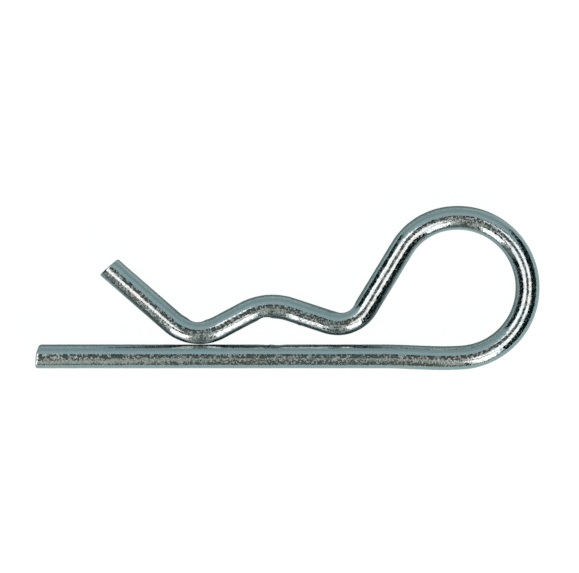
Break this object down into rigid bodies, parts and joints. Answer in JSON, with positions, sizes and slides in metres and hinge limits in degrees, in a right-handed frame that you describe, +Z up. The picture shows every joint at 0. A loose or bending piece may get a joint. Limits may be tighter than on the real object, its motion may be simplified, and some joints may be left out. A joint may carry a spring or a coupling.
{
  "type": "hitch r clip pin",
  "caption": "Spring wire R clip: a straight leg goes through a shaft's cross hole, and a waved sprung leg grips the shaft. A round eye at the end is pulled to take it out.",
  "frame": {"origin": "on the straight leg's axis, under the crest of the saddle, where the axis of the held shaft crosses it", "axes": "+X along the straight leg to the eye, +Y from the straight leg to the sprung leg, +Z up from the flat clip and along the held shaft"},
  "size_m": [0.0843, 0.0275, 0.004],
  "materials": {
    "zinc_plated_wire": "bright zinc plate with a faint blue-green passivation over finely pitted drawn wire"
  },
  "bodies": {
    "root": {"clip": "zinc_plated_wire"}
  },
  "joints": []
}
